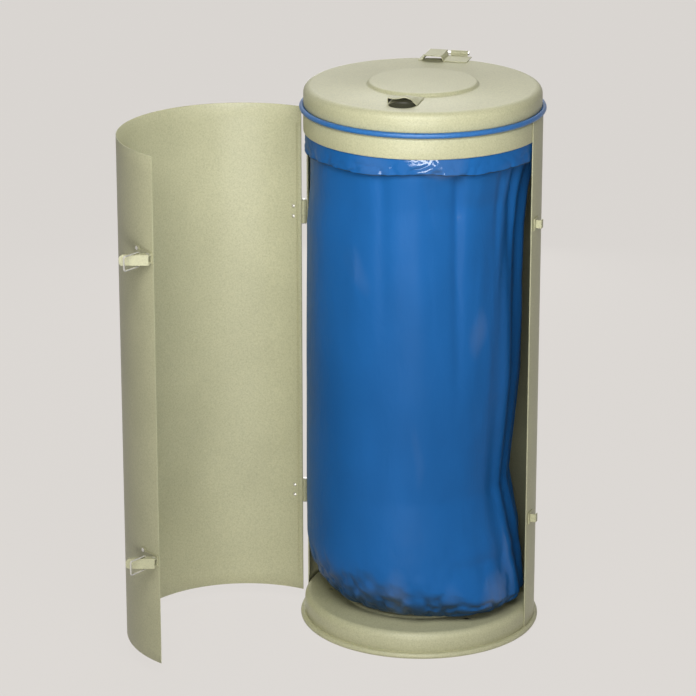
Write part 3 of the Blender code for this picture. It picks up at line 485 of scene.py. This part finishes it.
def offset_profile(points, thickness):
    """The inner face of a sheet whose outer face is given, by the mean of the neighbours' normals."""
    made = []
    for i, (x, z) in enumerate(points):
        normals = []
        for a, b in ((i - 1, i), (i, i + 1)):
            if a < 0 or b >= len(points):
                continue
            dx = points[b][0] - points[a][0]
            dz = points[b][1] - points[a][1]
            length = math.hypot(dx, dz)
            normals.append((dz / length, -dx / length))
        nx = sum(n[0] for n in normals) / len(normals)
        nz = sum(n[1] for n in normals) / len(normals)
        square = nx * nx + nz * nz
        made.append((x + nx * thickness / square, z + nz * thickness / square))
    return made


# Shapes
def smooth(piece, sharp_deg=None):
    """Smooth shading, except across edges that turn by more than an angle."""
    piece.data.shade_smooth()
    if sharp_deg is not None:
        piece.data.set_sharp_from_angle(angle=math.radians(sharp_deg))
    return piece


def turned(name, profile, mats, closed=False):
    """A profile swept round the drum's axis."""
    bm = bmesh.new()
    rows = []
    for radius, z in profile:
        if radius < ON_AXIS:
            rows.append([bm.verts.new((AXIS.x, AXIS.y, z))])
        else:
            rows.append([bm.verts.new(AXIS + polar(radius, 360 * i / FINE, z)) for i in range(FINE)])
    pairs = list(zip(rows, rows[1:]))
    if closed:
        pairs.append((rows[-1], rows[0]))
    for a, b in pairs:
        for i in range(FINE):
            j = (i + 1) % FINE
            if len(a) == 1:
                bm.faces.new((a[0], b[i], b[j]))
            elif len(b) == 1:
                bm.faces.new((a[i], b[0], a[j]))
            else:
                bm.faces.new((a[i], b[i], b[j], a[j]))
    bmesh.ops.recalc_face_normals(bm, faces=bm.faces)
    return smooth(add_piece(name, bm, mats))


def sheet_turned(name, outer, thickness, mats):
    """A pressed or rolled sheet; the outer face runs from the axis or the top down to the free edge."""
    inner = offset_profile(outer, thickness)
    if outer[0][0] < ON_AXIS:
        inner[0] = (0.0, inner[0][1])
        return turned(name, outer + inner[::-1], mats)
    return turned(name, outer + inner[::-1], mats, closed=True)


def ball(centre, radii, mat, half=False):
    """An ellipsoid, or its lower half with a flat lid."""
    bm = bmesh.new()
    bmesh.ops.create_uvsphere(bm, u_segments=64, v_segments=32, radius=1.0)
    if half:
        parts = bm.verts[:] + bm.edges[:] + bm.faces[:]
        bmesh.ops.bisect_plane(bm, geom=parts, plane_co=(0, 0, 0), plane_no=(0, 0, 1), clear_outer=True)
        bmesh.ops.holes_fill(bm, edges=bm.edges)
    bmesh.ops.scale(bm, verts=bm.verts, vec=radii)
    bmesh.ops.translate(bm, verts=bm.verts, vec=centre)
    return add_piece("ball", bm, [mat])


def drill(centre, radius, height, mat):
    bm = bmesh.new()
    size = {"radius1": radius, "radius2": radius, "depth": height}
    bmesh.ops.create_cone(bm, cap_ends=True, segments=48, **size)
    bmesh.ops.translate(bm, verts=bm.verts, vec=centre)
    return add_piece("drill", bm, [mat])


def apply_all(obj):
    """Applies the modifiers of an object."""
    bpy.context.view_layer.update()
    graph = bpy.context.evaluated_depsgraph_get()
    mesh = bpy.data.meshes.new_from_object(obj.evaluated_get(graph))
    old = obj.data
    obj.modifiers.clear()
    obj.data = mesh
    bpy.data.meshes.remove(old)


def combine(piece, tool, operation):
    """Joins a tool to a piece or cuts it out, and removes the tool."""
    step = piece.modifiers.new(operation.lower(), "BOOLEAN")
    step.operation = operation
    step.object = tool
    step.material_mode = "TRANSFER"
    apply_all(piece)
    mesh = tool.data
    bpy.data.objects.remove(tool)
    bpy.data.meshes.remove(mesh)
    smooth(piece, 35)


def face_rows(bm, radius, edge_radius, angles, levels):
    """Rows of points on one face of a rolled sheet, whose first and last row have a radius of their own."""
    rows = []
    for k, z in enumerate(levels):
        at = edge_radius if k in (0, len(levels) - 1) else radius
        rows.append([bm.verts.new(AXIS + polar(at, a, z)) for a in angles])
    return rows


def drum_sheet(name, start, end, low, high):
    """A rolled sheet between two angles."""
    steps = round((end - start) / ROLL_STEP_DEG)
    angles = [start + (end - start) * i / steps for i in range(steps + 1)]
    levels = [low, low + EDGE_BREAK_H, HEM_LOW, HEM_HIGH, high - EDGE_BREAK_H, high]
    bm = bmesh.new()
    outer = face_rows(bm, DRUM_R, DRUM_R - EDGE_BREAK, angles, levels)
    inner = face_rows(bm, DRUM_IN, DRUM_IN + EDGE_BREAK, angles, levels)
    for k in range(len(levels) - 1):
        for i in range(steps):
            bm.faces.new((outer[k][i], outer[k][i + 1], outer[k + 1][i + 1], outer[k + 1][i]))
            bm.faces.new((inner[k][i], inner[k + 1][i], inner[k + 1][i + 1], inner[k][i + 1]))
        for i in (0, steps):
            bm.faces.new((outer[k][i], outer[k + 1][i], inner[k + 1][i], inner[k][i]))
    for k in (0, len(levels) - 1):
        for i in range(steps):
            bm.faces.new((outer[k][i], inner[k][i], inner[k][i + 1], outer[k][i + 1]))
    bmesh.ops.recalc_face_normals(bm, faces=bm.faces)
    return smooth(add_piece(name, bm, [PAINT]), 40)


def hem_strip(name, edge, inward):
    """The folded leaf of a hem, rounded where the sheet turns back."""
    bm = bmesh.new()
    rows = []
    for z in (HEM_LOW, HEM_HIGH):
        row = []
        for share, along in HEM_OUTLINE:
            degrees = edge + inward * math.degrees(along / DRUM_R)
            row.append(bm.verts.new(AXIS + polar(DRUM_IN - SHEET * share, degrees, z)))
        rows.append(row)
    count = len(HEM_OUTLINE)
    for i in range(count):
        j = (i + 1) % count
        bm.faces.new((rows[0][i], rows[0][j], rows[1][j], rows[1][i]))
    bm.faces.new(rows[0])
    bm.faces.new(rows[1][::-1])
    bmesh.ops.recalc_face_normals(bm, faces=bm.faces)
    return smooth(add_piece(name, bm, [PAINT]), 50)


def open_door(*pieces):
    """Turns pieces drawn with the door shut to where the door stands."""
    turn = Matrix.Translation(HINGE) @ Matrix.Rotation(math.radians(-DOOR_OPEN), 4, "Z")
    turn = turn @ Matrix.Translation(-HINGE)
    for piece in pieces:
        piece.data.transform(turn)


def make_shell():
    shell = drum_sheet("shell_skin", EDGE_RIGHT, EDGE_LEFT + 360, SHELL_LOW.z, SHELL_HIGH.z)
    hems = [hem_strip("shell_hem_right", EDGE_RIGHT, 1), hem_strip("shell_hem_left", EDGE_LEFT + 360, -1)]
    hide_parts("back_shell")
    for piece in (shell, *hems):
        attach(piece, "housing")


def make_door():
    gap = math.degrees(EDGE_GAP / DRUM_R)
    start = EDGE_LEFT + gap
    end = EDGE_RIGHT - gap
    door = drum_sheet("door_skin", start, end, DOOR_LOW.z, DOOR_HIGH.z)
    hems = [hem_strip("door_hem_free", end, -1), hem_strip("door_hem_hinge", start, 1)]
    open_door(door, *hems)
    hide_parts("door")
    for piece in (door, *hems):
        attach(piece, "door")


def make_base():
    bead_x = PAN_HIGH.x - AXIS.x - BEAD_R
    outer = raised(PAN_DISC, PAN_TOP, PAN_RISE)
    outer += corner(FIT_R - PAN_CORNER_R, PAN_TOP - PAN_CORNER_R, PAN_CORNER_R, 90, 0, 8)
    outer += shifted(PAN_GROOVE, FIT_R, 0)
    outer += corner(bead_x, BEAD_R, BEAD_R, 90, -90, 12)
    outer += [(bead_x - BEAD_LIP, 0)]
    pan = sheet_turned("pan_skin", outer, SHEET, [PAINT])
    for i in range(HOLE_COUNT):
        place = AXIS + polar(HOLE_CIRCLE_R, HOLE_FIRST + 360 / HOLE_COUNT * i, PAN_TOP)
        combine(pan, drill(place, HOLE_R, DRILL_HEIGHT, PAINT), "DIFFERENCE")
    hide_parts("base_pan")
    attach(pan, "housing")


def make_collar():
    outer = shifted(NECK_TOP, NECK_R, COLLAR_HIGH.z)
    outer += shifted(NECK_FOOT, NECK_R, SHELL_HIGH.z)
    outer += shifted(COLLAR_LEDGE, FIT_R, SHELL_HIGH.z)
    outer += shifted(COLLAR_HEM, FIT_R, COLLAR_LOW.z)
    collar = sheet_turned("collar_skin", outer, COLLAR_SHEET, [PAINT])
    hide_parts("collar")
    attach(collar, "housing")


def make_ring():
    radius = (RING_HIGH.z - RING_LOW.z) / 2
    at = RING_HIGH.x - AXIS.x - radius
    middle = (RING_HIGH.z + RING_LOW.z) / 2
    points = corner(at, middle, radius, 0, 360, 20)[:-1]
    ring = turned("ring_cord", points, [RUBBER], closed=True)
    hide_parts("rubber_ring")
    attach(ring, "housing")


def make_lid():
    radius = LID_HIGH.x - AXIS.x
    outer = raised(LID_DISC, LID_TOP, LID_RISE)
    outer += corner(radius - LID_CORNER_R, LID_TOP - LID_CORNER_R, LID_CORNER_R, 90, 0, 12)
    outer += shifted(LID_EDGE, radius, LID_LOW.z)
    lid = sheet_turned("lid_skin", outer, SHEET, [PAINT])
    well = AXIS + Vector((0, -HANDLE_FRONT, LID_TOP - SHEET / 2))
    swollen = (WELL_R + SHEET, WELL_R + SHEET, WELL_DEPTH + SHEET)
    combine(lid, ball(well, swollen, PAINT, half=True), "UNION")
    # the well's inside takes the dark paint, as painted shade
    combine(lid, ball(well, (WELL_R, WELL_R, WELL_DEPTH), PAINTED_SHADE), "DIFFERENCE")
    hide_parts("lid")
    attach(lid, "lid")


def lip_height(across):
    """Height of the handle's front lip, from -1 at its left end to 1 at its right, with soft knots."""
    places, heights = zip(*HANDLE_LIP)
    near = [across + LIP_BLUR * (k - 3) / 3 for k in range(7)]
    return sum(float(np.interp(a, places, heights)) for a in near) / len(near) * HANDLE_LIFT


def handle_row(share):
    """Points across the cowl from its turned-down left end, at a share of the way to its front lip."""
    low = LID_TOP + GAP + HANDLE_T
    rise = math.sin(share * math.pi / 2)
    y = -(HANDLE_BACK + (HANDLE_FRONT - HANDLE_BACK) * share)
    edge = HANDLE_T * (1 - share)
    end = rise * lip_height(-1) + edge
    row = [(-HANDLE_W / 2, y, low + end * k / HANDLE_END_STEPS) for k in range(HANDLE_END_STEPS)]
    for i in range(HANDLE_ACROSS + 1):
        u = -1 + 2 * i / HANDLE_ACROSS
        fall = min(1.0, (1 - u) / HANDLE_END_FALL)
        row.append((u * HANDLE_W / 2, y, low + (rise * lip_height(u) + edge) * fall))
    return [AXIS + Vector(point) for point in row]


def make_handle():
    """The pressed cowl over the finger well, a sheet that rises to a wavy lip."""
    bm = bmesh.new()
    rows = [[bm.verts.new(p) for p in handle_row(j / HANDLE_ALONG)] for j in range(HANDLE_ALONG + 1)]
    for back, front in zip(rows, rows[1:]):
        for i in range(len(back) - 1):
            bm.faces.new((back[i], front[i], front[i + 1], back[i + 1]))
    handle = add_piece("handle_cowl", bm, [PAINT, PAINTED_SHADE])
    solid = handle.modifiers.new("sheet", "SOLIDIFY")
    solid.thickness = HANDLE_T
    solid.offset = -1
    # the cowl's underside takes the dark paint, as painted shade
    solid.material_offset = 1
    apply_all(handle)
    smooth(handle, 40)
    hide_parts("lid_handle")
    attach(handle, "lid")


# The film sack
def lean(degrees, towards):
    """1 on the side that faces an angle, 0 on the side away from it."""
    return (1 + math.cos(math.radians(degrees - towards))) / 2


def dent(value, centre, width):
    return math.exp(-((value - centre) / width) ** 2)


def around(degrees, centre):
    """The difference of two angles, from -180 to 180."""
    return (degrees - centre + 180) % 360 - 180


def crumple(degrees, z, scale, rise=1.0):
    angle = math.radians(degrees)
    place = Vector((math.sin(angle) * scale, math.cos(angle) * scale, z * scale * rise / DRUM_R))
    return noise.noise(place)


def crease(degrees, z, scale, rise=1.0):
    """Sharp ridges with flat facets between them, as thin film has where it is crushed."""
    return (1 - abs(crumple(degrees, z, scale, rise))) ** 6


def ring_pleats(degrees, share):
    """How far the pleats under the ring draw the film in."""
    drawn = 0.0
    for centre, width, depth, foot in SACK_PLEATS:
        fade = clamped((share - foot) / (PLEAT_TOP - foot))
        drawn += depth * fade * dent(around(degrees, centre + 3 * (1 - share)), 0, width)
    return drawn


def back_pleats(degrees, z, share, to_left):
    """How far the pleats along the back draw the film in."""
    behind = max(0.0, lean(degrees, BACK_DEG) - 0.25) / 0.75
    wander = math.radians(degrees) + 0.08 * math.sin(4 * share)
    pleat = math.sin(BACK_PLEATS * wander + 2 * crumple(degrees, z, 1.5, 0.5))
    return BACK_PLEAT_DEPTH * behind * 0.5 * (to_left - pleat)


def crinkles(degrees, z, share):
    """The film's own unevenness: long folds, finer ones towards the ring, round ones above the base."""
    upper = clamped((share - 0.25) / 0.6)
    low = 1 - clamped((share - 0.02) / 0.22)
    outward = 0.0040 * crumple(degrees, z, 2.2, 0.45)
    outward += 0.0016 * upper * crumple(degrees, z, 7.0, 0.18)
    outward -= 0.0014 * upper * crease(degrees, z, 3.4, 0.30)
    outward += 0.0050 * low * crumple(degrees, z, 4.5, 0.9)
    outward -= 0.0030 * low * crease(degrees, z, 5.0, 1.1)
    return outward


def belly(degrees, z):
    """The bulge above the base, with a dent over it."""
    aside = around(degrees, BULGE_DEG)
    full = dent(aside, 0, 24) * dent(z, BULGE_Z, 0.040)
    waist = dent(aside, 0, 26) * dent(z, BULGE_Z + 0.062, 0.014)
    return BULGE * (full - 0.4 * waist)


def sack_radius(degrees, z):
    """The film's distance from the drum's axis: full at left, drawn in at right."""
    share = (z - PAN_TOP) / (COLLAR_LOW.z - PAN_TOP)
    heights, left, right = zip(*SACK_SIDES)
    to_left = lean(degrees, SACK_LEFT_DEG)
    free = 1 - 0.8 * to_left
    inset = float(np.interp(share, heights, left)) * to_left
    inset += float(np.interp(share, heights, right)) * (1 - to_left)
    angle = math.radians(degrees)
    folds = sum(size * math.sin(count * angle + phase) for count, phase, size in SACK_FOLDS)
    radius = DRUM_IN - SACK_WALL_GAP - inset + folds * share * free
    radius -= ring_pleats(degrees, share) + back_pleats(degrees, z, share, to_left)
    return radius + free * crinkles(degrees, z, share) + belly(degrees, z)


def cuff_row(down):
    """A row of the folded-out mouth, from 0 at the collar's edge to 1 at its own wavy hem."""
    row = []
    for i in range(SACK_AROUND):
        degrees = 360 * i / SACK_AROUND
        angle = math.radians(degrees)
        wave = SACK_HEM_WAVE * (0.6 * math.sin(3 * angle + 0.8) + 0.4 * math.sin(7 * angle))
        wave += 0.0010 * crumple(degrees, 0.0, 9.0)
        z = COLLAR_LOW.z - (SACK_CUFF - wave) * down
        radius = CUFF_R + 0.0012 * down * crumple(degrees, z, 9.0, 0.8)
        radius -= 0.0026 * down * crease(degrees, z, 8.0, 1.3) - 0.0008 * down
        radius += 0.0007 * down * crumple(degrees, z, 24.0, 1.0)
        row.append(AXIS + polar(radius, degrees, z))
    return row


def level_row(radius, z, shake=0.0):
    row = []
    for i in range(SACK_AROUND):
        degrees = 360 * i / SACK_AROUND
        row.append(AXIS + polar(radius + shake * crumple(degrees, z, 14.0), degrees, z))
    return row


def wall_row(share_down):
    """A row of the film's wall, from 0 under the clamping ring to 1 at the rounded foot."""
    row = []
    for i in range(SACK_AROUND):
        degrees = 360 * i / SACK_AROUND
        z = WALL_TOP + (foot_top(degrees) - WALL_TOP) * share_down
        neck = 1 - min(1.0, share_down / 0.05)
        radius = sack_radius(degrees, z) * (1 - neck) + (CLAMP_IN - 0.0015) * neck
        row.append(AXIS + polar(radius, degrees, z))
    return row


def foot_height(degrees):
    return SACK_ROUND + SACK_LIFT * lean(degrees, SACK_LIFT_DEG) ** 1.3


def foot_top(degrees):
    return SACK_FLOOR + foot_height(degrees)


def foot_row(share):
    """A row of the rounded foot, from 0 at the wall to 1 where it lies on the base."""
    row = []
    quarter = math.radians(90 * share)
    loose = 4 * share * (1 - share)
    for i in range(SACK_AROUND):
        degrees = 360 * i / SACK_AROUND
        height = foot_height(degrees)
        inset = 2 * SACK_ROUND + 0.5 * (height - SACK_ROUND)
        z = SACK_FLOOR + height * (1 - math.sin(quarter))
        radius = sack_radius(degrees, foot_top(degrees)) - inset * (1 - math.cos(quarter))
        radius -= 0.006 * loose * crease(degrees, z, 5.5, 1.5)
        z += 0.007 * loose * crease(degrees, z + 1, 4.5, 1.5) * lean(degrees, SACK_LIFT_DEG)
        row.append(AXIS + polar(radius, degrees, z))
    return row


def sack_rows():
    """The film from its hem up the folded mouth, over the clamping ring and down to the base."""
    rows = [cuff_row(1 - k / CUFF_ROWS) for k in range(CUFF_ROWS + 1)]
    rows.append(level_row(CUFF_R, FILM_TURN))
    rows.append(level_row(CUFF_R - 0.0010, FILM_TOP - 0.0006))
    rows.append(level_row((CUFF_R + CLAMP_IN) / 2, FILM_TOP))
    rows.append(level_row(CLAMP_IN + 0.0010, FILM_TOP - 0.0006))
    rows.append(level_row(CLAMP_IN, FILM_TURN))
    rows.append(level_row(CLAMP_IN - 0.0012, COLLAR_LOW.z, 0.0006))
    rows += [wall_row(k / SACK_ROWS) for k in range(SACK_ROWS + 1)]
    rows += [foot_row(k / FOOT_ROWS) for k in range(1, FOOT_ROWS + 1)]
    for shrink in FOOT_SHRINKS:
        rows.append([AXIS + (p - AXIS) * Vector((shrink, shrink, 1)) for p in rows[-1]])
    return rows


def make_sack():
    bm = bmesh.new()
    rings = [[bm.verts.new(p) for p in row] for row in sack_rows()]
    for a, b in zip(rings, rings[1:]):
        for i in range(SACK_AROUND):
            j = (i + 1) % SACK_AROUND
            bm.faces.new((a[i], a[j], b[j], b[i]))
    hub = bm.verts.new(AXIS + Vector((0, 0, SACK_FLOOR)))
    for i in range(SACK_AROUND):
        bm.faces.new((rings[-1][i], rings[-1][(i + 1) % SACK_AROUND], hub))
    sack = smooth(add_piece("sack_film", bm, [FILM]))
    solid = sack.modifiers.new("film", "SOLIDIFY")
    solid.thickness = FILM_T
    solid.offset = 0
    apply_all(sack)
    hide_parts("sack")
    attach(sack, "housing")


make_shell()
make_door()
make_base()
make_collar()
make_ring()
make_lid()
make_handle()
make_sack()


# Stage, light and camera
def backdrop_rays(tree):
    """1 for the rays that show the backdrop: from the camera, off glossy faces and through clear ones."""
    path = add_node(tree, "ShaderNodeLightPath")
    seen = maths(tree, "MAXIMUM", path.outputs["Is Camera Ray"], path.outputs["Is Glossy Ray"])
    return maths(tree, "MAXIMUM", seen, path.outputs["Is Transmission Ray"])


def floor_share(tree):
    """How far the floor shows its own glow: only outside the base, and to the backdrop's rays."""
    spot = add_node(tree, "ShaderNodeNewGeometry")
    away = add_node(tree, "ShaderNodeVectorMath", operation="DISTANCE")
    feed(tree, away.inputs[0], spot.outputs["Position"])
    feed(tree, away.inputs[1], AXIS)
    outside = maths(tree, "GREATER_THAN", away.outputs["Value"], UNDER_BASE_R)
    seen = maths(tree, "MULTIPLY", backdrop_rays(tree), outside)
    return maths(tree, "MULTIPLY", seen, FLOOR_SHARE)


def make_stage():
    mat, tree = new_material("floor")
    matt = set_surface(tree, {
        "Base Color": (*BACKDROP, 1),
        "Roughness": 0.9,
        "Specular IOR Level": 0.05,
    })
    glow = add_node(tree, "ShaderNodeEmission", Color=(*FLOOR_GLOW, 1), Strength=1.0)
    mixed = mix_shaders(tree, floor_share(tree), matt, glow.outputs["Emission"])
    feed(tree, tree.nodes["Material Output"].inputs["Surface"], mixed)
    bm = bmesh.new()
    bmesh.ops.create_grid(bm, x_segments=1, y_segments=1, size=FLOOR_HALF)
    floor = add_piece("floor", bm, [mat])


def make_world():
    world = bpy.data.worlds.new("studio")
    bpy.context.scene.world = world
    world.use_nodes = True
    tree = world.node_tree
    lit = tree.nodes["Background"]
    lit.inputs["Color"].default_value = SKY
    lit.inputs["Strength"].default_value = SKY_STRENGTH
    seen = add_node(tree, "ShaderNodeBackground", Color=(*BACKDROP, 1), Strength=1.0)
    sides = (lit.outputs["Background"], seen.outputs["Background"])
    mixed = mix_shaders(tree, backdrop_rays(tree), *sides)
    feed(tree, tree.nodes["World Output"].inputs["Surface"], mixed)


def softbox(name, place, size, power):
    data = bpy.data.lights.new(name, "AREA")
    data.shape = "RECTANGLE"
    data.size, data.size_y = size
    data.energy = power
    lamp = add_object(name, data)
    lamp.visible_camera = False
    lamp.location = place
    lamp.rotation_euler = (LAMP_AIM - place).to_track_quat("-Z", "Y").to_euler()


def make_camera():
    data = bpy.data.cameras.new("camera")
    data.lens = VIEW_LENS
    data.sensor_width = SENSOR
    camera = add_object("camera", data)
    camera.location = AXIS + polar(VIEW_DISTANCE, VIEW_AZIMUTH, VIEW_HEIGHT)
    heading = math.radians(VIEW_AZIMUTH - VIEW_YAW)
    pitch = math.radians(VIEW_PITCH)
    level = Vector((-math.sin(heading), math.cos(heading), 0))
    forward = level * math.cos(pitch) - Vector((0, 0, math.sin(pitch)))
    camera.rotation_euler = forward.to_track_quat("-Z", "Y").to_euler()
    bpy.context.scene.camera = camera


make_stage()
make_world()
for name, (degrees, reach, height, size, power) in LAMPS.items():
    softbox(name, LAMP_MIDDLE + polar(reach, degrees, height), size, power)
make_camera()
bpy.context.scene.view_settings.view_transform = "Standard"
